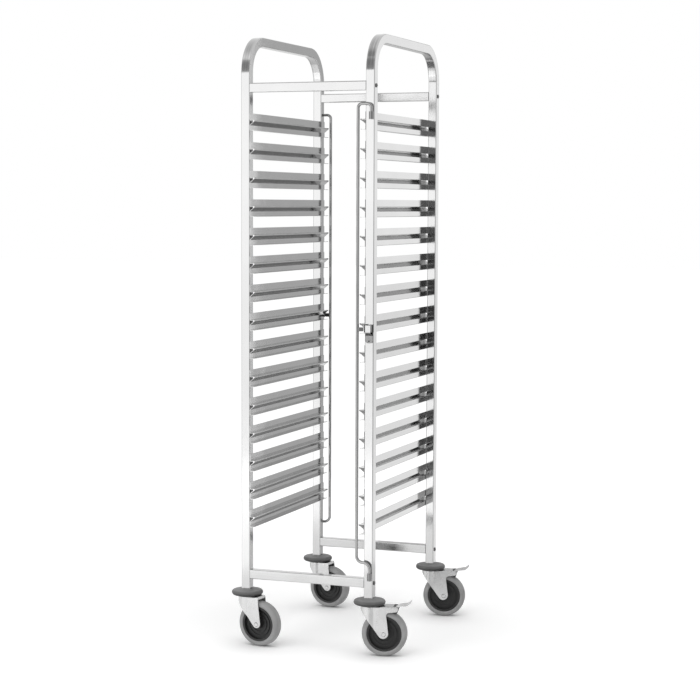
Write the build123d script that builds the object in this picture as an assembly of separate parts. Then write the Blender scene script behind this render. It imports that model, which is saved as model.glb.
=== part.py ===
"""Gastronorm tray trolley.

Two hooped side frames of square tube carry fifteen pairs of folded tray runners.
Four bolted crossbars join them, a swing-out lock rod hangs on the front and on the
back, and the whole stands on four swivel castors, the two on the right with a brake.

Millimetres.  X runs across the trolley, Y from front to back, Z up from the floor.
Castor pieces are drawn about their swivel axis, with the wheel trailing towards +X.
"""

import os
from math import cos, radians, sin, sqrt, tan

from build123d import *

# Frame
frame_width = 380.0
frame_depth = 550.0
frame_height = 1650.0
tube = 25.0
tube_wall = 1.5
tube_corner = 2.5
hoop_radius = 100.0
top_bar_drop = 140.0
bottom_bar_rise = 41.5

# Bolts and threaded plugs in the tube ends
bolt_diameter = 6.0
bolt_clearance = 0.4
bolt_thread = 14.0
bolt_head_diameter = 11.0
bolt_head_height = 3.2
bolt_socket = 4.0
bolt_socket_depth = 1.8
plug_length = 18.0
leg_plug_length = 26.0
plug_fit = 0.1

# Tray runners
runner_pitch = 76.5
first_ledge_drop = 86.0
lowest_ledge_room = 100.0
sheet = 1.2
fold_radius = 0.8
web_rise = 18.3
ledge_reach = 14.5
ledge_slope = 40.0
flange_drop = 28.3
flange_reach = 13.0

# Lock rods and their sockets
rod_diameter = 8.0
rod_arm = 36.5
rod_axis_inset = 6.5
rod_stand_off = 7.0
rod_top_drop = 47.5
rod_bottom_rise = 57.0
rod_top_bend = 11.0
rod_bottom_bend = 17.0
socket_diameter = 13.0
socket_floor = 2.5
socket_saddle = 9.0
top_pin_length = 38.0
bottom_pin_length = 45.5
socket_height = 20.0
pin_fit = 0.05
end_gap = 0.3

# Latch on the middle of each lock rod
latch_drop = 597.5
latch_height = 21.0
latch_width = 21.7
latch_depth = 18.0
latch_sheet = 1.5
latch_pin_diameter = 4.0
latch_pin_rise = 14.0
latch_pin_out = 11.0
lever_width = 14.7
lever_side_gap = 0.3
lever_reach = 20.5
lever_length = 48.0
lever_top = 19.0
lever_step = 9.0
lever_stand_off = 6.0
lever_bend = 2.5
tongue_width = 21.0
tongue_corner = 8.0
lever_back_gap = 0.3
lever_hole = 4.0
lever_hole_rise = 5.6
spur_height = 10.5
spur_thickness = 3.0
spur_rise = 7.5
spur_clearance = 1.2

# Round rubber bumpers under the legs
bumper_diameter = 85.5
bumper_core = 12.0
bumper_edge = 14.0
bumper_seat_diameter = 40.0
bumper_gap = 1.0

# Castors
wheel_diameter = 122.0
tyre_width = 32.0
tyre_thickness = 13.5
tyre_shoulder = 10.0
tyre_land = 0.8
hub_rim_width = 29.0
hub_rim = 6.0
hub_web = 9.0
hub_ring_height = 3.0
hub_ring_width = 3.0
hub_boss_diameter = 26.0
castor_trail = 41.0
crown_gap = 11.5
fork_sheet = 2.5
fork_inside = 38.0
fork_bend = 4.0
fork_head_radius = 24.6
fork_crease = 3.0
fork_back = 44.0
fork_front_drop = 8.0
fork_end_radius = 12.0
fork_end_rise = 2.5
fork_lip = 5.0
side_gap = 0.4
stem_diameter = 10.0
stem_length = 22.0
swivel_gap = 0.3
race_height = 2.1
race_inner_diameter = 24.0
race_outer_diameter = 37.8
cup_diameter = 42.0
cup_thickness = 3.1
kingpin_diameter = 12.0
kingpin_head_diameter = 20.0
kingpin_head_height = 4.5
axle_diameter = 8.0
axle_head_diameter = 13.0
axle_head_height = 2.6
axle_nut_height = 4.0

# Brakes on the right-hand castors
braked_end_radius = 14.0
brake_pivot_back = 31.0
ear_radius = 7.0
ear_root_drop = 21.0
ear_fillet = 8.0
brake_plate_gap = 1.5
brake_pin_diameter = 5.0
brake_pin_head = 8.0
brake_pin_head_height = 1.2
pedal_roll = 9.0
pedal_side_gap = 1.5
pedal_sheet = 2.0
pedal_length = 41.0
pedal_rise = 20.0
pedal_step = 9.0
pedal_step_rise = 6.5
pedal_knee = 31.0
pedal_knee_rise = 10.0
pedal_bend = 8.0
pedal_corner = 6.0
pedal_tip_width = 40.0
brake_travel = 24.0
shoe_width = 24.0
shoe_thickness = 9.0
shoe_clearance = 0.5

# Direction that each wheel trails in, degrees from +X towards the back
trail_angles = {"fl": -8.0, "fr": 12.0, "bl": -5.0, "br": 13.0}

# Sizes that follow from the ones above
wheel_z = wheel_diameter / 2
hub_diameter = wheel_diameter - 2 * tyre_thickness
fork_width = fork_inside + 2 * fork_sheet
fork_top = wheel_diameter + crown_gap + fork_sheet
bumper_seat = fork_top + race_height + swivel_gap + cup_thickness
bumper_bottom = fork_top + bumper_gap
leg_bottom = bumper_seat + bumper_core
brake_pivot_x = castor_trail + brake_pivot_back
brake_pivot_z = fork_top - ear_radius
bottom_bar_z = leg_bottom + bottom_bar_rise
top_bar_z = frame_height - top_bar_drop
first_ledge_z = top_bar_z - first_ledge_drop
runner_room = first_ledge_z - bottom_bar_z - lowest_ledge_room
runner_count = int(runner_room / runner_pitch) + 1
leg_x = (frame_width - tube) / 2
leg_y = (frame_depth - tube) / 2
inner_x = frame_width / 2 - tube
bore = tube - 2 * tube_wall
rod_x = frame_width / 2 - rod_axis_inset
rod_y = -frame_depth / 2 - rod_stand_off
bar_x = rod_x - rod_arm
rod_top_z = top_bar_z - rod_top_drop
rod_bottom_z = bottom_bar_z + rod_bottom_rise
top_pin_z = rod_top_z - top_pin_length
bottom_pin_z = rod_bottom_z - bottom_pin_length
latch_z = rod_top_z - latch_drop
latch_x = frame_width / 2 - latch_width / 2
latch_pin_y = -frame_depth / 2 - latch_pin_out
latch_pin_z = latch_z + latch_pin_rise
corners = {
    "fl": (-leg_x, -leg_y),
    "fr": (leg_x, -leg_y),
    "bl": (-leg_x, leg_y),
    "br": (leg_x, leg_y),
}
braked = ("fr", "br")


def ledge_z(level):
    """Height of the upper ledge of the runners at a level, counted from the top."""
    return first_ledge_z - runner_pitch * (level - 1)


def turned(shape):
    """The same piece for the back, half a turn about the upright centre line."""
    return Rot(0, 0, 180) * shape


def revolved(points_and_arcs):
    """Solid of revolution about Z from closed edges drawn in the XZ plane."""
    return revolve(make_face(points_and_arcs), Axis.Z)


def hull_with_circle(radius, x, y, line):
    """Face inside a band pulled tight round a circle and a line."""
    circle = Pos(x, y) * Circle(radius)
    return make_hull([circle.edge(), *line.edges()])


def around_axle(solid):
    """Lay a solid drawn about Z onto the wheel's axle, which runs along Y."""
    return Pos(castor_trail, 0, wheel_z) * Rot(90, 0, 0) * solid


# Side frames and crossbars
def side_frame(x):
    """Hoop of square tube with the bolt holes of its four crossbar ends."""
    top = frame_height - tube / 2
    route = FilletPolyline(
        (x, -leg_y, leg_bottom),
        (x, -leg_y, top),
        (x, leg_y, top),
        (x, leg_y, leg_bottom),
        radius=hoop_radius - tube / 2,
    )
    foot = Plane(origin=(x, -leg_y, leg_bottom), x_dir=(1, 0, 0), z_dir=(0, 0, 1))
    outside = sweep(foot * RectangleRounded(tube, tube, tube_corner), path=route)
    hollow = sweep(foot * Rectangle(bore, bore), path=route)
    hoop = outside - hollow
    for y in (-leg_y, leg_y):
        for z in (bottom_bar_z, top_bar_z):
            hole = Pos(x, y, z) * Rot(0, 90, 0) * Cylinder(
                (bolt_diameter + bolt_clearance) / 2, 2 * tube
            )
            hoop -= hole
    return hoop


def crossbar(y, z):
    """Square tube between the inner faces of two legs."""
    section = RectangleRounded(tube, tube, tube_corner) - Rectangle(bore, bore)
    start = Plane(origin=(-inner_x, y, z), x_dir=(0, 1, 0), z_dir=(1, 0, 0))
    return extrude(start * section, 2 * inner_x)


def crossbar_joints():
    """Place and outward direction of the eight bolted crossbar ends."""
    for y in (-leg_y, leg_y):
        for z in (bottom_bar_z, top_bar_z):
            for side in (-1, 1):
                yield side, y, z


def crossbar_bolt(side, y, z):
    """Domed screw with a hexagon socket, from the leg's outer face into the plug."""
    head = Sphere(bolt_head_diameter) & Pos(0, 0, bolt_head_diameter) * Cylinder(
        bolt_head_diameter / 2, 2 * bolt_head_height
    )
    low = bolt_head_diameter - bolt_head_height
    head = Pos(0, 0, -low) * (head - Cylinder(bolt_head_diameter, 2 * low))
    socket = extrude(RegularPolygon(bolt_socket / 2, 6, major_radius=False), bolt_socket_depth)
    head -= Pos(0, 0, bolt_head_height - bolt_socket_depth) * socket
    shank = tube + bolt_thread
    screw = head + Pos(0, 0, -shank / 2) * Cylinder(bolt_diameter / 2, shank)
    outward = Plane(origin=(side * frame_width / 2, y, z), z_dir=(side, 0, 0))
    return outward * screw


def tube_plug(length, hole):
    """Threaded plug that fills the end of a square tube."""
    width = bore - 2 * plug_fit
    return extrude(Rectangle(width, width) - Circle(hole / 2 + pin_fit), length)


def tube_plugs():
    """Plugs in both ends of each crossbar and in the foot of each leg."""
    plugs = []
    for side, y, z in crossbar_joints():
        end = Plane(origin=(side * inner_x, y, z), x_dir=(0, 1, 0), z_dir=(-side, 0, 0))
        plugs.append(end * tube_plug(plug_length, bolt_diameter))
    for x, y in corners.values():
        plugs.append(Pos(x, y, leg_bottom) * tube_plug(leg_plug_length, stem_diameter))
    return Compound(plugs)


# Tray runners
def runner_section():
    """Folded strip: X is the reach from the leg, Y the height above the ledge.

    The line drawn is the face towards the leg.  The strip goes down, out along the
    ledge, back underneath it at a slope, down again and out along the lower flange.
    """
    outer = fold_radius + sheet
    half = radians(ledge_slope / 2)
    tip = ledge_reach - sheet - fold_radius + fold_radius / tan(half)
    back = -sheet - tip * tan(radians(ledge_slope))
    strip = FilletPolyline(
        (0, web_rise),
        (0, -sheet),
        (tip, -sheet),
        (0, back),
        (0, -flange_drop),
        (flange_reach, -flange_drop),
        radius=[outer, fold_radius, outer, outer],
    )
    return make_face(offset(strip, amount=sheet, side=Side.LEFT).edges())


def runner_pair(level):
    """Left and right runner of one level, on the inner faces of the legs."""
    start = Plane(
        origin=(-inner_x, frame_depth / 2, ledge_z(level)),
        x_dir=(1, 0, 0),
        z_dir=(0, -1, 0),
    )
    left = extrude(start * runner_section(), frame_depth)
    return Compound([left, turned(left)])


# Lock rods
def lock_rod():
    """Round bar cranked at both ends onto its pivot line, with the spur for the latch."""
    route = FilletPolyline(
        (rod_x, rod_y, bottom_pin_z),
        (rod_x, rod_y, rod_bottom_z),
        (bar_x, rod_y, rod_bottom_z),
        (bar_x, rod_y, rod_top_z),
        (rod_x, rod_y, rod_top_z),
        (rod_x, rod_y, top_pin_z),
        radius=[rod_bottom_bend, rod_bottom_bend, rod_top_bend, rod_top_bend],
    )
    rod = sweep(Pos(rod_x, rod_y, bottom_pin_z) * Circle(rod_diameter / 2), path=route)
    corner = sqrt((latch_width - rod_axis_inset) ** 2 + (latch_depth - rod_stand_off) ** 2)
    reach = rod_arm - corner - spur_clearance
    spur = extrude(RectangleRounded(2 * reach, spur_height, spur_height / 4), spur_thickness / 2, both=True)
    spur = split(Rot(90, 0, 0) * spur, Plane.YZ, keep=Keep.TOP)
    return rod + Pos(bar_x, rod_y, latch_z + spur_rise) * spur


def rod_socket(pin_z):
    """Blind bush under a rod's end, on a saddle that stands it off the leg's front face."""
    z = pin_z - end_gap - socket_floor
    cup = Pos(rod_x, rod_y, z) * extrude(Circle(socket_diameter / 2), socket_height)
    saddle = Pos(rod_x, rod_y, z) * extrude(
        Pos(0, rod_stand_off / 2) * Rectangle(socket_saddle, rod_stand_off), socket_height
    )
    hole = extrude(Circle(rod_diameter / 2 + pin_fit), socket_height)
    return cup + saddle - Pos(rod_x, rod_y, z + socket_floor) * hole


def rod_sockets():
    """Two sockets for the front rod and two for the back one."""
    front = [rod_socket(bottom_pin_z), rod_socket(top_pin_z)]
    return Compound(front + [turned(socket) for socket in front])


# Latches
def latch_bracket():
    """Channel on the leg's front face, open to the front, with the lever's pin holes."""
    face = -frame_depth / 2
    plan = Rectangle(latch_width, latch_depth) - Pos(0, -latch_sheet) * Rectangle(
        latch_width - 2 * latch_sheet, latch_depth
    )
    channel = extrude(Pos(latch_x, face - latch_depth / 2, latch_z) * plan, latch_height)
    front = channel.edges().filter_by(Axis.X).group_by(Axis.Y)[0]
    channel = fillet(front, latch_depth / 5)
    hole = Pos(latch_x, latch_pin_y, latch_pin_z) * Rot(0, 90, 0) * Cylinder(
        latch_pin_diameter / 2 + pin_fit, 2 * latch_width
    )
    return channel - hole


def latch_pin():
    """Pin across the bracket, riveted over outside both cheeks."""
    pin = Cylinder(latch_pin_diameter / 2, latch_width)
    rivet = latch_sheet / 2
    head = Cylinder(latch_pin_diameter, rivet)
    for end in (-1, 1):
        pin += Pos(0, 0, end * (latch_width + rivet) / 2) * head
    return Pos(latch_x, latch_pin_y, latch_pin_z) * Rot(0, 90, 0) * pin


def latch_lever():
    """Gravity lever: a nested channel on the pin, whose tongue steps back towards the leg."""
    right = latch_x + latch_width / 2 - latch_sheet - lever_side_gap
    centre = right - lever_width / 2
    face = -frame_depth / 2
    front = face - lever_reach
    round_back = latch_pin_out - latch_sheet - lever_back_gap
    top = latch_z + lever_top
    cheek_bottom = latch_z + lever_side_gap
    cheek_back = latch_pin_y + round_back
    side = make_face(
        Polyline(
            (front, cheek_bottom),
            (cheek_back, cheek_bottom),
            (cheek_back, latch_pin_z),
            (latch_pin_y, latch_pin_z),
            (latch_pin_y, top),
            (front, top),
            close=True,
        )
    )
    side += Pos(latch_pin_y, latch_pin_z) * Circle(round_back) & Pos(
        latch_pin_y, cheek_bottom
    ) * Rectangle(3 * round_back, 2 * (top - cheek_bottom))
    profile = Plane(origin=(centre, 0, 0), x_dir=(0, 1, 0), z_dir=(1, 0, 0))
    body = extrude(profile * side, lever_width / 2, both=True)
    inside = Pos(centre, front + latch_sheet + frame_depth / 2, 0) * Box(
        lever_width - 2 * latch_sheet, frame_depth, 4 * top
    )
    body -= inside
    hang = face - lever_stand_off
    knee = latch_z - lever_step
    low = top - lever_length
    strip_line = FilletPolyline(
        (front, top),
        (front, latch_z - latch_sheet),
        (hang, knee),
        (hang, low),
        radius=lever_bend,
    )
    strip = make_face(offset(strip_line, amount=latch_sheet, side=Side.LEFT).edges())
    strip = extrude(profile * strip, latch_width, both=True)
    neck_height = top - knee
    neck = RectangleRounded(lever_width, neck_height, lever_width / 3)
    tongue_height = latch_z - 2 * latch_sheet - low
    tongue = RectangleRounded(tongue_width, tongue_height, tongue_corner)
    tongue -= Pos(0, lever_hole_rise - tongue_height / 2) * Circle(lever_hole / 2)
    outline = Pos(centre, top - neck_height / 2) * neck
    outline += Pos(latch_x, low + tongue_height / 2) * tongue
    body += strip & extrude(Plane.XZ * outline, frame_depth)
    hole = Pos(centre, latch_pin_y, latch_pin_z) * Rot(0, 90, 0) * Cylinder(
        latch_pin_diameter / 2 + pin_fit, 2 * lever_width
    )
    return body - hole


# Bumpers
def bumper():
    """Lens-shaped rubber disc round the castor's head, between the leg's foot and the fork."""
    seat = bumper_seat_diameter / 2
    hole = stem_diameter / 2 + pin_fit
    recess = cup_diameter / 2 + side_gap
    rim = bumper_diameter / 2
    edge = bumper_edge / 2
    low = bumper_bottom
    outline = [
        Line((hole, 0, bumper_seat), (recess, 0, bumper_seat)),
        Line((recess, 0, bumper_seat), (recess, 0, low)),
        Line((recess, 0, low), (rim - edge, 0, low)),
        ThreePointArc((rim - edge, 0, low), (rim, 0, low + edge), (rim - edge, 0, low + 2 * edge)),
        Line((rim - edge, 0, low + 2 * edge), (seat, 0, leg_bottom)),
        Line((seat, 0, leg_bottom), (hole, 0, leg_bottom)),
        Line((hole, 0, leg_bottom), (hole, 0, bumper_seat)),
    ]
    return revolved(outline)


# Castor head and fork
def castor_head():
    """Stem, upper bearing cup and kingpin, which stay still while the fork swivels."""
    stem = stem_diameter / 2
    cup = cup_diameter / 2
    lip = race_outer_diameter / 2 + swivel_gap
    king = kingpin_diameter / 2
    rivet = kingpin_head_diameter / 2
    cup_low = bumper_seat - cup_thickness
    stem_top = leg_bottom + stem_length
    plate_low = fork_top - fork_sheet - swivel_gap
    rivet_low = plate_low - kingpin_head_height
    chamfer_size = kingpin_head_height / 3
    outline = Polyline(
        (0, 0, stem_top),
        (stem, 0, stem_top),
        (stem, 0, bumper_seat),
        (cup, 0, bumper_seat),
        (cup, 0, cup_low - race_height + swivel_gap),
        (lip, 0, cup_low - race_height + swivel_gap),
        (lip, 0, cup_low),
        (king, 0, cup_low),
        (king, 0, plate_low),
        (rivet, 0, plate_low),
        (rivet, 0, rivet_low + chamfer_size),
        (rivet - chamfer_size, 0, rivet_low),
        (0, 0, rivet_low),
        close=True,
    )
    return revolved(outline)


def fork_side(with_brake):
    """Outline of the fork seen along the axle: X trails, Y is the height."""
    end = braked_end_radius if with_brake else fork_end_radius
    centre = castor_trail - (end - fork_end_radius)
    front = -fork_head_radius
    low = fork_top - fork_front_drop
    crown = Polyline((front, low), (front, fork_top), (fork_back, fork_top))
    leg = hull_with_circle(end, centre, wheel_z + fork_end_rise, crown)
    if not with_brake:
        return leg
    root_low = fork_top - ear_root_drop
    root = Line((castor_trail / 2, root_low), (castor_trail / 2, fork_top))
    ear = hull_with_circle(ear_radius, brake_pivot_x, brake_pivot_z, root)
    side = leg + ear
    crook = [
        corner
        for corner in side.vertices()
        if fork_back < corner.X < brake_pivot_x and corner.Y < brake_pivot_z - ear_radius / 2
    ]
    return fillet(crook, ear_fillet)


def fork_blank(wall, back, top):
    """Solid whose round head bulges past its flat cheeks, drawn in from the outside by a wall."""
    head = fork_head_radius - wall
    width = fork_width - 2 * wall
    plan = Circle(head) + Pos(back / 2, 0) * Rectangle(back, width)
    creases = [corner for corner in plan.vertices() if 0 < corner.X < head]
    blank = extrude(fillet(creases, fork_crease + wall), top)
    rim = blank.faces().sort_by(Axis.Z)[-1].outer_wire().edges()
    return fillet([edge for edge in rim if edge.center().X < back - fork_bend], fork_bend - wall)


def fork(with_brake):
    """Pressed fork: a domed crown with the bearing race and two legs for the axle."""
    back = max(brake_pivot_x + 2 * ear_radius, castor_trail + 2 * fork_end_radius)
    plate_back = brake_pivot_x - pedal_roll / 2 - brake_plate_gap if with_brake else fork_back
    ceiling = fork_top - fork_sheet
    mouth = ceiling if with_brake else ceiling - fork_lip
    shell = fork_blank(0, back, fork_top)
    shell -= fork_blank(fork_sheet, plate_back - fork_sheet, ceiling)
    gap = Rectangle(2 * back, fork_inside)
    shell -= Pos(plate_back / 2 + back, 0, 0) * extrude(gap, mouth)
    shell -= Pos(plate_back + back, 0, 0) * extrude(gap, 2 * fork_top)
    side = Plane.XZ * fork_side(with_brake)
    shell = shell & extrude(side, fork_width, both=True)
    race = Circle(race_outer_diameter / 2) - Circle(race_inner_diameter / 2)
    shell += Pos(0, 0, fork_top) * extrude(race, race_height)
    shell -= Pos(0, 0, fork_top) * Cylinder(kingpin_diameter / 2 + pin_fit, 4 * fork_sheet)
    shell -= around_axle(Cylinder(axle_diameter / 2 + pin_fit, 2 * fork_width))
    if with_brake:
        shell -= brake_line(Cylinder(brake_pin_diameter / 2 + pin_fit, 2 * fork_width))
    return shell


# Wheels
def hub():
    """Moulded wheel centre with a boss, a ringed web and the rim for the tyre."""
    hole = axle_diameter / 2 + pin_fit
    boss = hub_boss_diameter / 2
    boss_half = fork_inside / 2 - side_gap
    rim = hub_diameter / 2
    rim_half = hub_rim_width / 2
    web_half = hub_web / 2
    rim_inside = rim - hub_rim
    step = (rim_inside - boss) / 3
    upper = [(hole, boss_half), (boss - 1.5 * side_gap, boss_half), (boss, web_half + hub_ring_height)]
    upper.append((boss, web_half))
    for ring in (1, 2):
        start = boss + ring * step - hub_ring_width / 2
        upper.append((start, web_half))
        upper.append((start, web_half + hub_ring_height))
        upper.append((start + hub_ring_width, web_half + hub_ring_height))
        upper.append((start + hub_ring_width, web_half))
    upper.append((rim_inside, web_half))
    upper.append((rim_inside, rim_half))
    upper.append((rim, rim_half))
    lower = [(r, -y) for r, y in reversed(upper)]
    points = [(r, 0, y) for r, y in upper + lower]
    return around_axle(revolved(Polyline(*points, close=True)))


def tyre():
    """Soft tread moulded round the hub, with rounded shoulders."""
    inside = hub_diameter / 2
    outside = wheel_diameter / 2
    half = tyre_width / 2
    base = hub_rim_width / 2
    side = outside - tyre_shoulder
    flat = half - tyre_shoulder
    bulge = tyre_shoulder * sqrt(0.5)
    outline = [
        Line((inside, 0, -base), (side - tyre_land, 0, -half)),
        Line((side - tyre_land, 0, -half), (side, 0, -half)),
        ThreePointArc((side, 0, -half), (side + bulge, 0, -flat - bulge), (outside, 0, -flat)),
        Line((outside, 0, -flat), (outside, 0, flat)),
        ThreePointArc((outside, 0, flat), (side + bulge, 0, flat + bulge), (side, 0, half)),
        Line((side, 0, half), (side - tyre_land, 0, half)),
        Line((side - tyre_land, 0, half), (inside, 0, base)),
        Line((inside, 0, base), (inside, 0, -base)),
    ]
    return around_axle(revolved(outline))


def axle():
    """Axle bolt with a domed head on the front side and a nut on the other."""
    head = Pos(0, 0, fork_width / 2) * Cone(
        axle_head_diameter / 2,
        axle_head_diameter / 3,
        axle_head_height,
        align=(Align.CENTER, Align.CENTER, Align.MIN),
    )
    bolt = head + Pos(0, 0, -axle_nut_height / 2) * Cylinder(
        axle_diameter / 2, fork_width + axle_nut_height
    )
    nut = RegularPolygon(axle_head_diameter / 2, 6, major_radius=False)
    nut -= Circle(axle_diameter / 2 + pin_fit)
    nut = Pos(0, 0, -fork_width / 2 - axle_nut_height) * extrude(nut, axle_nut_height)
    return Compound([around_axle(bolt), around_axle(nut)])


# Brake
def brake_line(solid):
    """Lay a solid drawn about Z onto the brake's pivot line."""
    return Pos(brake_pivot_x, 0, brake_pivot_z) * Rot(90, 0, 0) * solid


def brake_pin():
    """Pin through both ears of the fork, riveted over outside them."""
    pin = Cylinder(brake_pin_diameter / 2, fork_width)
    for end in (-1, 1):
        place = end * (fork_width + brake_pin_head_height) / 2
        pin += Pos(0, 0, place) * Cylinder(brake_pin_head / 2, brake_pin_head_height)
    return brake_line(pin)


def brake_pedal():
    """Sheet blade rolled round the pin at its root and flared towards its tip."""
    width = fork_inside - 2 * pedal_side_gap
    roll = pedal_roll / 2
    blade_line = FilletPolyline(
        (0, roll - pedal_sheet),
        (pedal_step, pedal_step_rise),
        (pedal_knee, pedal_knee_rise),
        (pedal_length, pedal_rise - pedal_sheet),
        radius=pedal_bend,
    )
    blade = make_face(offset(blade_line, amount=pedal_sheet, side=Side.LEFT).edges())
    section = Plane(origin=(brake_pivot_x, 0, brake_pivot_z), x_dir=(1, 0, 0), z_dir=(0, -1, 0))
    blade = extrude(section * blade, pedal_tip_width / 2, both=True)
    flare = fork_back / 4
    plan = make_face(
        Polyline(
            (0, -width / 2),
            (flare, -width / 2),
            (2 * flare, -pedal_tip_width / 2),
            (2 * pedal_length, -pedal_tip_width / 2),
            (2 * pedal_length, pedal_tip_width / 2),
            (2 * flare, pedal_tip_width / 2),
            (flare, width / 2),
            (0, width / 2),
            close=True,
        )
    )
    tip = blade.bounding_box().max.X - brake_pivot_x
    rounded = Pos(tip - pedal_length, 0) * RectangleRounded(
        2 * pedal_length, pedal_tip_width, pedal_corner
    )
    blade &= Pos(brake_pivot_x, 0, 0) * extrude(plan & rounded, 2 * fork_top)
    pedal = blade + brake_line(Cylinder(roll, width))
    return pedal - brake_line(Cylinder(brake_pin_diameter / 2 + pin_fit, 2 * width))


def brake_shoe():
    """Block under the pedal's root whose nose swings onto the tread."""
    across = castor_trail - brake_pivot_x
    down = wheel_z - brake_pivot_z
    reach = sqrt(across**2 + down**2) - wheel_diameter / 2 - shoe_clearance
    length = sqrt(across**2 + down**2)
    turn = radians(brake_travel)
    aim_x = (across * cos(turn) - down * sin(turn)) / length
    aim_z = (across * sin(turn) + down * cos(turn)) / length
    nose = shoe_thickness / 2
    middle = reach - nose
    seat = Circle((pedal_roll + nose) / 2).edge()
    hull = hull_with_circle(nose, aim_x * middle, aim_z * middle, seat)
    hull -= Circle(pedal_roll / 2)
    hull -= Pos(0, pedal_length) * Rectangle(4 * pedal_length, 2 * pedal_length)
    section = Plane(origin=(brake_pivot_x, 0, brake_pivot_z), x_dir=(1, 0, 0), z_dir=(0, -1, 0))
    return extrude(section * hull, shoe_width / 2, both=True)


def castor(corner):
    """Pieces of one castor in their places, by node name."""
    x, y = corners[corner]
    with_brake = corner in braked
    pieces = {
        "castor_fork_": fork(with_brake),
        "castor_axle_": axle(),
        "wheel_hub_": hub(),
        "wheel_tyre_": tyre(),
    }
    if with_brake:
        pieces["brake_pin_"] = brake_pin()
        pieces["brake_pedal_"] = brake_pedal()
        pieces["brake_shoe_"] = brake_shoe()
    place = Pos(x, y, 0) * Rot(0, 0, trail_angles[corner])
    placed = {name + corner: place * piece for name, piece in pieces.items()}
    placed["castor_head_" + corner] = Pos(x, y, 0) * castor_head()
    placed["bumper_" + corner] = Pos(x, y, 0) * bumper()
    return placed


def trolley():
    """Every piece of the trolley by node name, about the frame's own centre."""
    pieces = {
        "side_frame_left": side_frame(-leg_x),
        "side_frame_right": side_frame(leg_x),
        "crossbar_front_top": crossbar(-leg_y, top_bar_z),
        "crossbar_front_bottom": crossbar(-leg_y, bottom_bar_z),
        "crossbar_back_top": crossbar(leg_y, top_bar_z),
        "crossbar_back_bottom": crossbar(leg_y, bottom_bar_z),
        "crossbar_bolts": Compound([crossbar_bolt(*joint) for joint in crossbar_joints()]),
        "tube_plugs": tube_plugs(),
        "lock_rod_front": lock_rod(),
        "lock_rod_back": turned(lock_rod()),
        "rod_sockets": rod_sockets(),
        "latch_brackets": Compound([latch_bracket(), turned(latch_bracket())]),
        "latch_pins": Compound([latch_pin(), turned(latch_pin())]),
        "latch_lever_front": latch_lever(),
        "latch_lever_back": turned(latch_lever()),
    }
    for level in range(1, runner_count + 1):
        pieces[f"runners_{level:02d}"] = runner_pair(level)
    for corner in corners:
        pieces.update(castor(corner))
    return pieces


def standing_place(pieces):
    """Shift that puts the middle of the footprint of all pieces at the origin."""
    boxes = [piece.bounding_box() for piece in pieces.values()]
    x = min(box.min.X for box in boxes) + max(box.max.X for box in boxes)
    y = min(box.min.Y for box in boxes) + max(box.max.Y for box in boxes)
    return Pos(-x / 2, -y / 2, 0)


pieces = trolley()
shift = standing_place(pieces)
os.makedirs("parts", exist_ok=True)
for name, piece in pieces.items():
    export_step(shift * piece, os.path.join("parts", name + ".step"))
print(len(pieces), "nodes, shifted by", shift.position)
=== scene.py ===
"""Looks of the gastronorm tray trolley: steel, rubber and plastic finishes, camera and studio."""

from math import cos, pi, radians, sin

import bpy
from mathutils import Matrix, Vector


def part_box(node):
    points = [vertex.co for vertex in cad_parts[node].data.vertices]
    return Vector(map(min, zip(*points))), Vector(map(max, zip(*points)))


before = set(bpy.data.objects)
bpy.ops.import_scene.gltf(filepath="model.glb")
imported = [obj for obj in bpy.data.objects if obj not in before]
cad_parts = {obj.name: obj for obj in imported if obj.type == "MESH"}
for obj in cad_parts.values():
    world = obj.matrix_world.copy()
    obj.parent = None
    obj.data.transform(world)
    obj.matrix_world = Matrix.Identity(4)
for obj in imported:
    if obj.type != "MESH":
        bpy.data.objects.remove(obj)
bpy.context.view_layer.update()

# Middle of the tube frame on the floor, which the camera and the lamps are placed from
left_low, left_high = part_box("side_frame_left")
right_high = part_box("side_frame_right")[1]
middle = Vector(((left_low.x + right_high.x) / 2, (left_low.y + left_high.y) / 2, 0))
frame_top = left_high.z

# Camera, fitted to the photograph's edges
CAMERA_PLACE = Vector((1.8369, -4.8635, 1.1983))
CAMERA_YAW = radians(20.472)
CAMERA_PITCH = radians(-4.458)
CAMERA_ROLL = radians(0.206)
CAMERA_LENS = 95.585
SENSOR = 36.0
FARTHEST = 100.0

# Brushed steel: scale of the grain lines, how far they are drawn out, and their relief
GRAIN_SCALE = 1400.0
GRAIN_LENGTHWAYS = 0.012
GRAIN_STRENGTH = 0.10
GRAIN_DEPTH = 0.0003

# Hoops, in metres below the frame's top: where the brushing turns from the legs to the push
# bar, and where the painted dark reflection streaks on the bends fade in and out
BRUSHING_TURNS = (0.07, 0.03)
STREAKS_FADE_IN = (0.105, 0.085)
STREAKS_FADE_OUT = (0.03, 0.005)

# Spur of a lock rod, painted darker as shade: its middle above the latch bracket's foot, half
# the shaded band, how far from the round bar's inner edge it starts, and the band's soft edges
SPUR_RISE = 0.0075
SPUR_HALF_BAND = 0.007
SPUR_STARTS = 0.0085
SPUR_SHADE_EDGE_UP = 0.002
SPUR_SHADE_EDGE_OUT = 0.001
SPUR_EXTRA_ROUGHNESS = 0.15

# Latch pressings: painted shade on the sides, and painted dark reflection in noisy patches on the
# tongue that hangs below the bracket
SIDE_PAINTED_SHADE = 0.03
SIDE_EXTRA_ROUGHNESS = 0.35
LATCH_SPECULAR = 0.1
TONGUE_EDGE = 0.001

# Brightness left where shade and dark reflections are painted in, as a share of the steel's own
STREAKS_BRIGHTNESS = 0.72
SPUR_SHADE_BRIGHTNESS = 0.3
TONGUE_SHADE_BRIGHTNESS = (0.22, 0.62)

# Floor: paint, and a glow for the eye and for reflections, which rises away from the trolley
FLOOR_HALF = 30.0
FLOOR_SHADES = (0.85, 0.87)
GLOW_DISTANCES = (0.3, 2.0)
GLOW_STRENGTHS = (0.29, 0.50)
GLOW_LESS_IN_REFLECTIONS = 0.20
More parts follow.
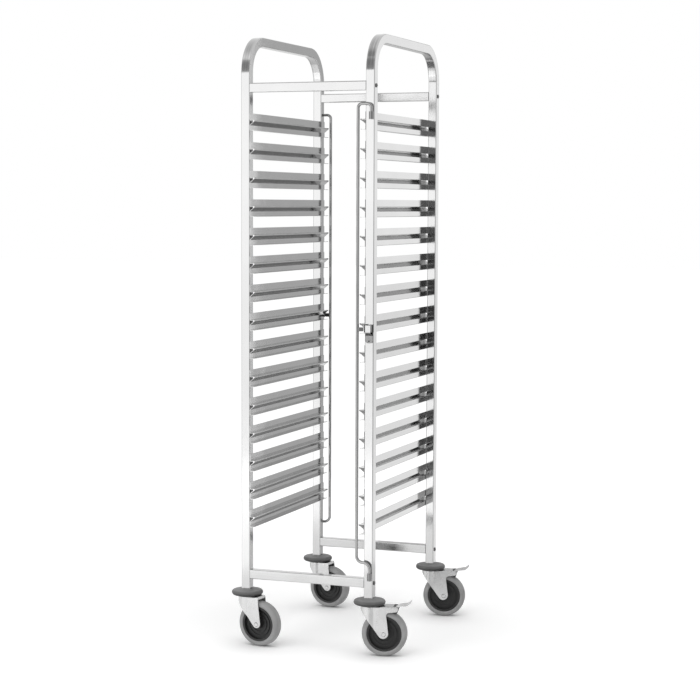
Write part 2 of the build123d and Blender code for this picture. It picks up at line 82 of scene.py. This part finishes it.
# Painted contact shadow: how far the glow is dimmed near what stands on the floor, and how far
# down
CONTACT_SHADOW_REACH = 0.14
CONTACT_SHADOW_DARKEST = 0.35

# Surroundings: white to the eye and to reflections, dimmer as a light
BACKDROP_STRENGTH = 1.0
SKYLIGHT_STRENGTH = 0.64

# Cloths: where the foot's shade ends and the head's begins, in half heights from the middle
CLOTH_RAMP = (-0.4, 0.3)


class Graph:
    """Short way to write a material's nodes."""

    def __init__(self, name):
        self.material = bpy.data.materials.new(name)
        self.material.use_nodes = True
        self.tree = self.material.node_tree
        self.tree.nodes.clear()
        self.output = self.tree.nodes.new("ShaderNodeOutputMaterial")

    def set(self, socket, value):
        """Link a socket to a node's output, or give it a plain value."""
        if isinstance(value, bpy.types.NodeSocket):
            self.tree.links.new(value, socket)
        elif isinstance(value, (tuple, list)) and len(value) == 3 and socket.type == "RGBA":
            socket.default_value = (*value, 1.0)
        else:
            socket.default_value = value

    def node(self, kind, inputs=(), **settings):
        """New node with its settings and inputs, which are pairs of socket and value."""
        node = self.tree.nodes.new("ShaderNode" + kind)
        for key, value in settings.items():
            setattr(node, key, value)
        for key, value in dict(inputs).items():
            self.set(node.inputs[key], value)
        return node

    def math(self, operation, *values):
        """Result of a sum on numbers or sockets."""
        inputs = dict(enumerate(values))
        return self.node("Math", inputs, operation=operation).outputs[0]

    def product(self, first, *others):
        """All values multiplied."""
        for other in others:
            first = self.math("MULTIPLY", first, other)
        return first

    def place(self, scale=(1, 1, 1)):
        """Point on the piece in metres, stretched for a grain."""
        coordinates = self.node("TexCoord").outputs["Object"]
        inputs = {"Vector": coordinates, "Scale": scale}
        return self.node("Mapping", inputs).outputs[0]

    def along(self, axis):
        """Where the point lies along an axis in metres."""
        return self.node("SeparateXYZ", {0: self.place()}).outputs["XYZ".index(axis)]

    def facing(self, axis):
        """How much the surface faces along an axis, from -1 to 1."""
        normal = self.node("TexCoord").outputs["Normal"]
        return self.node("SeparateXYZ", {0: normal}).outputs["XYZ".index(axis)]

    def noise(self, scale, detail=3.0, stretch=(1, 1, 1)):
        """Noise from 0 to 1 over the piece."""
        inputs = {
            "Vector": self.place(stretch),
            "Scale": scale,
            "Detail": detail,
            "Roughness": 0.5,
        }
        return self.node("TexNoise", inputs).outputs[0]

    def ranged(self, value, low, high, new_low, new_high):
        """Value moved from one range into another, and held inside it."""
        inputs = {0: value, 1: low, 2: high, 3: new_low, 4: new_high}
        return self.node("MapRange", inputs).outputs[0]

    def spread(self, noise, low, high):
        """Noise, most of which lies between 0.3 and 0.7, spread between two values."""
        return self.ranged(noise, 0.3, 0.7, low, high)

    def mix(self, factor, first, second):
        """Colour between two colours."""
        node = self.node("Mix", data_type="RGBA")
        colours = [socket for socket in node.inputs if socket.type == "RGBA"]
        self.set(node.inputs[0], factor)
        self.set(colours[0], first)
        self.set(colours[1], second)
        return next(socket for socket in node.outputs if socket.type == "RGBA")

    def bump(self, height, strength, distance, below=None):
        """Bumped surface direction."""
        inputs = {"Height": height, "Strength": strength, "Distance": distance}
        if below is not None:
            inputs["Normal"] = below
        return self.node("Bump", inputs).outputs[0]

    def glow(self, strength):
        """White light given off by the surface."""
        inputs = {"Color": grey(1.0), "Strength": strength}
        return self.node("Emission", inputs).outputs[0]

    def close(self, surface):
        """Make the shader the material's surface."""
        self.set(self.output.inputs["Surface"], surface)
        return self.material

    def finish(self, colour, roughness, metal=0.0, normal=None, **extra):
        """Close the material with a plain shader."""
        inputs = {"Base Color": colour, "Roughness": roughness, "Metallic": metal}
        if normal is not None:
            inputs["Normal"] = normal
        inputs.update({key.replace("_", " "): value for key, value in extra.items()})
        return self.close(self.node("BsdfPrincipled", inputs).outputs[0])


def grey(level):
    """Neutral colour."""
    return (level, level, level)


def grain_lines(graph, axis):
    """Fine brushed lines along an axis."""
    stretch = [1.0, 1.0, 1.0]
    stretch["XYZ".index(axis)] = GRAIN_LENGTHWAYS
    return graph.noise(GRAIN_SCALE, 2.0, stretch)


def hoop_lines(graph, up_legs, along_bar):
    """Brushed lines on the legs of a hoop that change direction on its push bar."""
    legs, bar = grain_lines(graph, up_legs), grain_lines(graph, along_bar)
    starts, ends = (frame_top - drop for drop in BRUSHING_TURNS)
    turned = graph.ranged(graph.along("Z"), starts, ends, 0.0, 1.0)
    on_bar = graph.product(bar, turned)
    on_legs = graph.product(legs, graph.math("SUBTRACT", 1.0, turned))
    return graph.math("ADD", on_bar, on_legs)


def painted_bend_reflections(graph):
    """Painted reflection: dark lengthways stripes, from 0 to 1, on the inner and outer faces of
    the hoops' bends.
    """
    height = graph.along("Z")
    stripes = graph.noise(190.0, 1.0, (1.0, 0.01, 0.01))
    dark = graph.ranged(stripes, 0.42, 0.62, 0.0, 1.0)
    rising = graph.ranged(height, *(frame_top - drop for drop in STREAKS_FADE_IN), 0.0, 1.0)
    falling = graph.ranged(height, *(frame_top - drop for drop in STREAKS_FADE_OUT), 1.0, 0.0)
    sideways = graph.math("ABSOLUTE", graph.facing("X"))
    bent_faces = graph.ranged(sideways, 0.3, 0.7, 1.0, 0.0)
    return graph.product(rising, falling, bent_faces, dark)


def spur_painted_shade(graph, height, least_reach):
    """Band of painted shade, from 0 to 1, about a height and beyond a distance from the middle."""
    off = graph.math("ABSOLUTE", graph.math("SUBTRACT", graph.along("Z"), height))
    near = graph.ranged(off, SPUR_HALF_BAND, SPUR_HALF_BAND + SPUR_SHADE_EDGE_UP, 1.0, 0.0)
    reach = graph.math("ABSOLUTE", graph.math("SUBTRACT", graph.along("X"), middle.x))
    beyond = graph.ranged(reach, least_reach, least_reach + SPUR_SHADE_EDGE_OUT, 0.0, 1.0)
    return graph.product(near, beyond)


def brushed(name, level, roughness, along, grain, waves=0.0, spur_shade=None):
    """Stainless steel brushed along one axis, or for a hoop along its legs' and its push bar's.

    Waves is how far thin sheet rises and falls in metres, and spur_shade is the height of a band
    of painted shade on a spur and its least distance from the middle.
    """
    graph = Graph(name)
    hoop = len(along) > 1
    lines = hoop_lines(graph, *along) if hoop else grain_lines(graph, along)
    clouds = graph.noise(9.0, 3.0)
    colour = graph.mix(clouds, grey(level * 0.95), grey(level * 1.05))
    smears = graph.noise(26.0, 4.0, (1.0, 1.0, 0.6))
    gloss = graph.math(
        "ADD",
        graph.spread(lines, roughness - grain, roughness + grain),
        graph.ranged(smears, 0.35, 0.75, -0.02, 0.03),
    )
    if hoop:
        # Painted reflection: dark streaks on the bends of the hoops
        colour = graph.mix(painted_bend_reflections(graph), colour, grey(level * STREAKS_BRIGHTNESS))
    if spur_shade:
        shaded = spur_painted_shade(graph, *spur_shade)
        # Painted shade: the spur is made darker along its band
        colour = graph.mix(shaded, colour, grey(level * SPUR_SHADE_BRIGHTNESS))
        gloss = graph.math("ADD", gloss, graph.product(shaded, SPUR_EXTRA_ROUGHNESS))
    swell = graph.bump(graph.noise(7.0, 1.0), 1.0, waves) if waves else None
    normal = graph.bump(lines, GRAIN_STRENGTH, GRAIN_DEPTH, swell)
    return graph.finish(colour, gloss, 1.0, normal)


def latch_steel(name, level, roughness, shade_below=None):
    """Small steel pressings with painted shade on their two sides, and painted darker below a
    height if given.
    """
    graph = Graph(name)
    lines = grain_lines(graph, "X")
    # Painted shade: the two sides are made near black, rougher and not metal
    sideways = graph.math("ABSOLUTE", graph.facing("X"))
    side = graph.ranged(sideways, 0.75, 0.95, 0.0, 1.0)
    bright = graph.mix(graph.noise(60.0, 3.0), grey(level * 0.9), grey(level * 1.06))
    if shade_below:
        # Painted dark reflection: below the bracket's foot the tongue is made darker, in noisy
        # patches
        foot = graph.ranged(graph.along("Z"), shade_below, shade_below + TONGUE_EDGE, 1.0, 0.0)
        darker, lighter = (grey(level * share) for share in TONGUE_SHADE_BRIGHTNESS)
        tongue_shade = graph.mix(graph.noise(220.0, 3.0), darker, lighter)
        bright = graph.mix(foot, bright, tongue_shade)
    colour = graph.mix(side, bright, grey(SIDE_PAINTED_SHADE))
    gloss = graph.math(
        "ADD",
        graph.spread(lines, roughness - 0.03, roughness + 0.03),
        graph.product(side, SIDE_EXTRA_ROUGHNESS),
    )
    metal = graph.math("SUBTRACT", 1.0, side)
    normal = graph.bump(lines, GRAIN_STRENGTH, GRAIN_DEPTH)
    return graph.finish(colour, gloss, metal, normal, Specular_IOR_Level=LATCH_SPECULAR)


def zinc(name, level):
    """Bright zinc plate on pressed steel, slightly uneven."""
    graph = Graph(name)
    colour = graph.mix(graph.noise(90.0, 4.0), grey(level * 0.88), grey(level))
    gloss = graph.spread(graph.noise(35.0, 3.0), 0.20, 0.34)
    normal = graph.bump(graph.noise(160.0, 3.0), 0.12, 0.0006)
    return graph.finish(colour, gloss, 1.0, normal)


def rubber(name, dark, light, roughness, painted_light=0.0):
    """Matt rubber with a fine moulded grain and a little bloom.

    Where painted_light is given, what faces up is painted lighter and what faces down is painted
    darker, as light and shade.
    """
    graph = Graph(name)
    bloom = graph.ranged(graph.noise(28.0, 5.0), 0.35, 0.7, 0.0, 1.0)
    colour = graph.mix(bloom, grey(dark), grey(light))
    if painted_light:
        # Painted light and shade: faces up made lighter, faces down made darker
        upward = graph.facing("Z")
        underside_shade = graph.ranged(upward, 0.35, -0.45, 0.0, 1.0)
        colour = graph.mix(underside_shade, colour, grey(dark * 0.35))
        top_light = graph.ranged(upward, 0.6, 1.0, 0.0, painted_light)
        colour = graph.mix(top_light, colour, grey(light * 2.0))
    fine = graph.noise(900.0, 2.0)
    gloss = graph.spread(fine, roughness - 0.06, roughness + 0.06)
    uneven = graph.bump(graph.noise(120.0, 3.0), 0.15, 0.0008)
    return graph.finish(colour, gloss, 0.0, graph.bump(fine, 0.25, 0.0003, uneven))


def plastic(name, level, roughness):
    """Moulded plastic with a faint texture."""
    graph = Graph(name)
    colour = graph.mix(graph.noise(30.0, 3.0), grey(level * 0.8), grey(level * 1.25))
    gloss = graph.spread(graph.noise(60.0, 3.0), roughness - 0.05, roughness + 0.07)
    normal = graph.bump(graph.noise(700.0, 2.0), 0.2, 0.0002)
    return graph.finish(colour, gloss, 0.0, normal)


def put(material, *starts):
    """Give a finish to every node whose name starts with one of the words."""
    for name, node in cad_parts.items():
        if name.startswith(starts):
            node.data.materials.clear()
            node.data.materials.append(material)


# Foot of the latch brackets, and where a rod's spur leaves its round bar
latch_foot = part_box("latch_brackets")[0].z
bar_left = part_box("lock_rod_front")[0].x
spur = (latch_foot + SPUR_RISE, bar_left + SPUR_STARTS - middle.x)

# Finishes
put(brushed("steel_tube", level=0.50, roughness=0.12, along="ZY", grain=0.03), "side_frame")
put(
    brushed("steel_bar", level=0.50, roughness=0.12, along="X", grain=0.03),
    "crossbar_front",
    "crossbar_back",
)
put(
    brushed("steel_runner", level=0.50, roughness=0.09, along="Y", grain=0.02, waves=0.0015),
    "runners",
)
# Painted shade: the lock rods and their sockets get a darker copy of the frame's steel, for the
# darker reflections they show
put(
    brushed("steel_rod", level=0.32, roughness=0.14, along="Z", grain=0.03, spur_shade=spur),
    "lock_rod",
)
put(brushed("steel_socket", level=0.22, roughness=0.12, along="Z", grain=0.03), "rod_socket")
put(latch_steel("steel_latch", level=0.46, roughness=0.16), "latch_bracket", "latch_pin")
put(
    latch_steel("steel_lever", level=0.50, roughness=0.20, shade_below=latch_foot),
    "latch_lever",
)
put(
    zinc("zinc_plate", level=0.58),
    "castor_fork",
    "castor_head",
    "castor_axle",
    "brake_pin",
    "brake_pedal",
)
put(plastic("dark_screws", level=0.12, roughness=0.28), "crossbar_bolts")
put(plastic("plug_plastic", level=0.03, roughness=0.55), "tube_plugs")
put(plastic("hub_plastic", level=0.014, roughness=0.58), "wheel_hub")
put(plastic("shoe_plastic", level=0.04, roughness=0.55), "brake_shoe")
put(rubber("bumper_rubber", dark=0.085, light=0.13, roughness=0.50, painted_light=0.5), "bumper")
put(rubber("tyre_rubber", dark=0.29, light=0.36, roughness=0.60), "wheel_tyre")


def make_camera():
    """Camera at the photograph's place, without shift."""
    data = bpy.data.cameras.new("camera")
    data.sensor_width = SENSOR
    data.lens = CAMERA_LENS
    data.clip_end = FARTHEST
    camera = bpy.data.objects.new("camera", data)
    bpy.context.scene.collection.objects.link(camera)
    ahead = Vector(
        (
            -sin(CAMERA_YAW) * cos(CAMERA_PITCH),
            cos(CAMERA_YAW) * cos(CAMERA_PITCH),
            sin(CAMERA_PITCH),
        )
    )
    level_right = Vector((cos(CAMERA_YAW), sin(CAMERA_YAW), 0))
    level_up = level_right.cross(ahead)
    right = level_right * cos(CAMERA_ROLL) + level_up * sin(CAMERA_ROLL)
    up = level_up * cos(CAMERA_ROLL) - level_right * sin(CAMERA_ROLL)
    turn = Matrix((right, up, -ahead)).transposed()
    camera.matrix_world = Matrix.Translation(middle + CAMERA_PLACE) @ turn.to_4x4()
    bpy.context.scene.camera = camera


def set_up(thing, place, aim):
    """Stand a lamp or a cloth at a place from the middle, facing another."""
    thing.location = middle + Vector(place)
    towards = Vector(aim) - Vector(place)
    thing.rotation_euler = towards.to_track_quat("-Z", "Y").to_euler()


def softbox(name, place, aim, size, radiance, lights_matt=True, mirrored=True):
    """Large soft lamp of a given brightness, unseen by the camera itself."""
    data = bpy.data.lights.new(name, "AREA")
    data.shape = "RECTANGLE"
    data.size, data.size_y = size
    data.energy = radiance * pi * size[0] * size[1]
    lamp = bpy.data.objects.new(name, data)
    lamp.visible_camera = False
    lamp.visible_diffuse = lights_matt
    lamp.visible_glossy = mirrored
    set_up(lamp, place, aim)
    bpy.context.scene.collection.objects.link(lamp)


def sheet(name, half_x, half_y):
    """Flat rectangle about its own middle."""
    mesh = bpy.data.meshes.new(name)
    signs = ((-1, -1), (1, -1), (1, 1), (-1, 1))
    corners = [(x * half_x, y * half_y, 0.0) for x, y in signs]
    mesh.from_pydata(corners, [], [(0, 1, 2, 3)])
    card = bpy.data.objects.new(name, mesh)
    bpy.context.scene.collection.objects.link(card)
    return card


def cloth(name, place, aim, size, foot_shade, head_shade):
    """Cloth that only reflections see, shaded from its foot to its head."""
    half_x, half_y = size[0] / 2, size[1] / 2
    card = sheet(name, half_x, half_y)
    set_up(card, place, aim)
    card.visible_camera = False
    card.visible_diffuse = False
    card.visible_shadow = False
    graph = Graph(name)
    ramp_low, ramp_high = (share * half_y for share in CLOTH_RAMP)
    shade = graph.ranged(graph.along("Y"), ramp_low, ramp_high, foot_shade, head_shade)
    card.data.materials.append(graph.close(graph.glow(shade)))


def make_floor():
    """Pale floor that ends up white to the eye and keeps the shadow."""
    floor = sheet("floor", FLOOR_HALF, FLOOR_HALF)
    graph = Graph("floor")
    speckle = graph.mix(graph.noise(40.0, 3.0), *(grey(shade) for shade in FLOOR_SHADES))
    matt = graph.node("BsdfDiffuse", {"Color": speckle}).outputs[0]
    distance = graph.node("VectorMath", {0: graph.place()}, operation="LENGTH").outputs["Value"]
    path = graph.node("LightPath").outputs
    lift = graph.ranged(distance, *GLOW_DISTANCES, *GLOW_STRENGTHS)
    less = graph.product(path["Is Glossy Ray"], GLOW_LESS_IN_REFLECTIONS)
    lift = graph.math("SUBTRACT", lift, less)
    # Painted contact shadow: the glow is dimmed where the floor is hemmed in
    openness = {"Distance": CONTACT_SHADOW_REACH}
    open_sky = graph.node("AmbientOcclusion", openness, samples=8).outputs["AO"]
    lift = graph.product(lift, graph.ranged(open_sky, CONTACT_SHADOW_DARKEST, 1.0, 0.0, 1.0))
    lifted = graph.node("AddShader", {0: matt, 1: graph.glow(lift)}).outputs[0]
    seen = graph.math("MAXIMUM", path["Is Camera Ray"], path["Is Glossy Ray"])
    both = graph.node("MixShader", {0: seen, 1: matt, 2: lifted}).outputs[0]
    floor.data.materials.append(graph.close(both))


def make_world():
    """White surroundings for the eye and for reflections, dimmer as a light."""
    world = bpy.data.worlds.new("world")
    bpy.context.scene.world = world
    world.use_nodes = True
    nodes, links = world.node_tree.nodes, world.node_tree.links
    nodes.clear()
    output = nodes.new("ShaderNodeOutputWorld")
    whites = []
    for strength in (SKYLIGHT_STRENGTH, BACKDROP_STRENGTH):
        white = nodes.new("ShaderNodeBackground")
        white.inputs[0].default_value = (1, 1, 1, 1)
        white.inputs[1].default_value = strength
        whites.append(white.outputs[0])
    path = nodes.new("ShaderNodeLightPath")
    seen = path.outputs["Is Camera Ray"]
    for ray in ("Is Glossy Ray", "Is Transmission Ray"):
        either = nodes.new("ShaderNodeMath")
        either.operation = "MAXIMUM"
        links.new(seen, either.inputs[0])
        links.new(path.outputs[ray], either.inputs[1])
        seen = either.outputs[0]
    mix = nodes.new("ShaderNodeMixShader")
    for socket, value in zip(mix.inputs, (seen, *whites)):
        links.new(value, socket)
    links.new(mix.outputs[0], output.inputs["Surface"])


make_camera()
make_floor()
make_world()

# Lamps and cloths, each with its place and what it faces, from the middle on the floor
chest = (0.0, 0.0, 0.85)
softbox("front_left", (-1.45, -3.6, 1.0), chest, (1.7, 2.6), 2.0, mirrored=False)
softbox(
    "front_panel", (-0.55, -1.25, 0.83), (-0.2, 0.0, 0.83), (1.3, 1.84), 0.80, lights_matt=False
)
softbox(
    "floor_panel", (-0.45, -0.47, 0.004), (-0.45, -0.47, 1.0), (1.5, 1.56), 0.35, lights_matt=False
)
softbox(
    "back_panel", (0.97, 0.95, 0.95), (0.97, 0.0, 0.95), (1.2, 2.1), 0.35, lights_matt=False
)
softbox("overhead", (0.2, -0.6, 3.4), chest, (2.6, 2.6), 1.8, mirrored=False)
cloth("camera_cloth", (2.6, -6.2, 1.2), chest, (2.4, 3.4), 0.03, 0.40)
cloth("front_valance", (-0.5, -1.3, 2.6), (-0.5, 0.0, 2.6), (3.0, 1.7), 0.45, 1.0)
cloth("arch_cloth", (-0.22, -0.62, 2.6), (-0.22, -0.62, 0.0), (0.42, 1.3), 0.50, 1.0)
cloth("arch_sheet", (-0.62, -0.65, 2.55), (-0.62, -0.65, 0.0), (0.34, 1.2), 1.40, 1.0)
cloth("floor_cloth", (1.55, -4.0, 0.003), (1.55, -4.0, 1.0), (1.5, 3.4), 0.12, 0.12)
cloth("back_cloth", (0.07, 0.95, 0.95), (0.07, 0.0, 0.95), (0.6, 2.1), 0.64, 0.64)

bpy.context.scene.view_settings.view_transform = "Standard"
